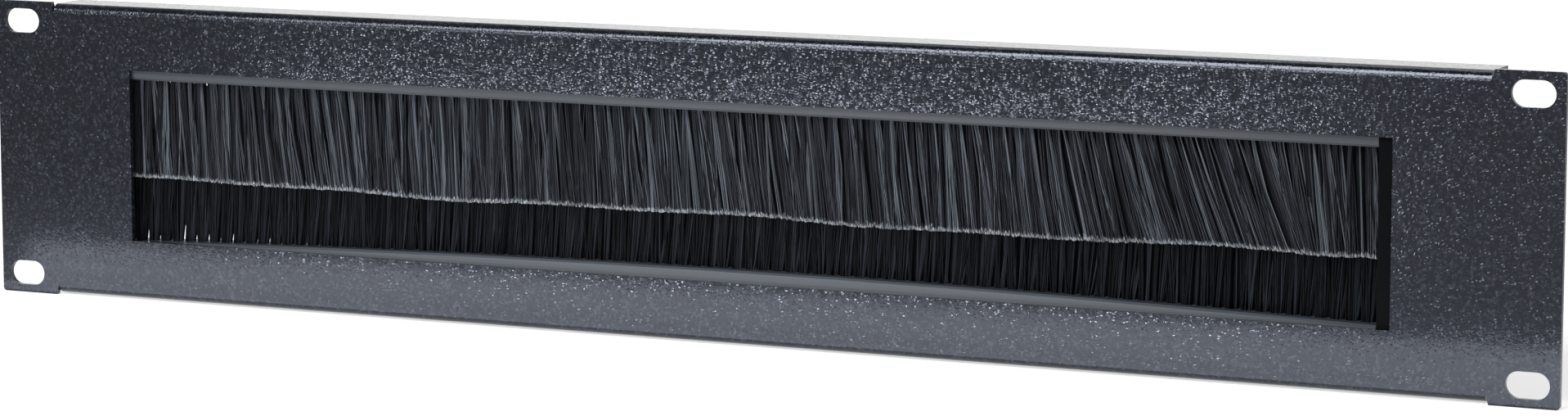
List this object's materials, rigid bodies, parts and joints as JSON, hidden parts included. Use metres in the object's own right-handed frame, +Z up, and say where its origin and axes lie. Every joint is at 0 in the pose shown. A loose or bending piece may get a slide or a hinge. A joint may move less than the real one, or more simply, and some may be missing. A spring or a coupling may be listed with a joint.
{
  "type": "rack brush strip panel",
  "caption": "Folded black steel rack panel with a long cable opening closed by two facing rows of brush bristles set in grey bars.",
  "frame": {"origin": "centre of the four rack slots, on the rear face of the sheet that seats on the rack rails", "axes": "+X along the panel, to the right seen from the front; +Y to the rear; +Z up"},
  "size_m": [0.4826, 0.015, 0.0882],
  "materials": {
    "black_powder_coat": "fine textured powder coat, satin",
    "grey_pvc": "smooth extruded PVC",
    "black_filament": "crimp-free nylon filament, pale where it is cut",
    "black_foam": "closed-cell foam rubber, dull",
    "zinc_plated_steel": "bright zinc plate"
  },
  "bodies": {
    "root": {"face_panel": "black_powder_coat", "upper_brush_bar": "grey_pvc", "lower_brush_bar": "grey_pvc", "upper_bristle_tufts": "black_filament", "lower_bristle_tufts": "black_filament", "end_seals": "black_foam", "weld_studs": "zinc_plated_steel", "stud_washers": "zinc_plated_steel", "stud_nuts": "zinc_plated_steel"}
  },
  "joints": []
}
